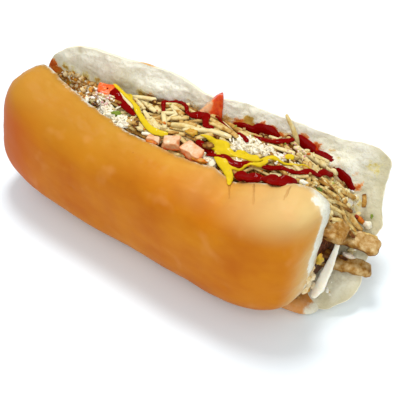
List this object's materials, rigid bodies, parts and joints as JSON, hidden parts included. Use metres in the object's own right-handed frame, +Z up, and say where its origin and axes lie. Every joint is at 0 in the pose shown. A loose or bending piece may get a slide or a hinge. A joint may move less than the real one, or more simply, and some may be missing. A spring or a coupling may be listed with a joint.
{
  "type": "hot dog",
  "caption": "Long soft roll opened along its length like a book, loaded with strips of meat, shoestring potato sticks, grated cheese, diced tomato and lines of red and yellow sauce",
  "frame": {"origin": "middle of the footprint of the whole hot dog, on the surface it rests on", "axes": "+X along the roll to its open end where the strips stick out, -Y to the rounded half, +Y to the half that leans away, +Z up"},
  "size_m": [0.2224, 0.1012, 0.0882],
  "materials": {
    "baked_roll": "soft baked crust, matte to satin, with a cream crumb where it is cut",
    "grilled_meat": "browned, slightly moist",
    "potato_sticks": "dry fried, with lines of glossy sauce over them",
    "onion": "moist",
    "tomato": "moist and glossy",
    "grated_cheese": "soft matte"
  },
  "bodies": {
    "root": {"bun": "baked_roll", "meat_filling": "grilled_meat", "meat_slab": "grilled_meat", "meat_strip_upper": "grilled_meat", "meat_strip_lower": "grilled_meat", "potato_stick_heap": "potato_sticks", "potato_stick_upright": "potato_sticks", "onion_slice": "onion", "tomato_wedge": "tomato", "tomato_dice_left": "tomato", "tomato_dice_rim": "tomato", "tomato_dice_front": "tomato", "tomato_dice_middle": "tomato", "cheese_left": "grated_cheese", "cheese_middle": "grated_cheese", "cheese_front": "grated_cheese"}
  },
  "joints": []
}
